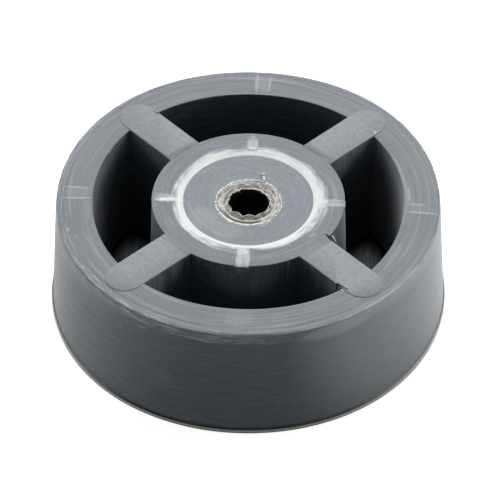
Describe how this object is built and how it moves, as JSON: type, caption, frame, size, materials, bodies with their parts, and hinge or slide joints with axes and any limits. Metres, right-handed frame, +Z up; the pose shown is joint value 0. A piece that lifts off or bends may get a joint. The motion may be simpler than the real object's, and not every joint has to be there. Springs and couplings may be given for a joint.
{
  "type": "rubber foot",
  "caption": "Round rubber foot with a tapered rim, a webbed open centre and a hub with a through screw hole and a fluted bush.",
  "frame": {"origin": "centre of the face that the foot stands on", "axes": "+Z up along the screw hole, towards the hub's sunk disc; the openings between the webs lie along X and Y"},
  "size_m": [0.0627, 0.0626, 0.0202],
  "materials": {
    "body_rubber": "matt, with fine turning lines and a whitened ring round the disc",
    "bush_nylon": "rough cut, ivory"
  },
  "bodies": {
    "root": {"foot_body": "body_rubber", "bore_bush": "bush_nylon"}
  },
  "joints": []
}
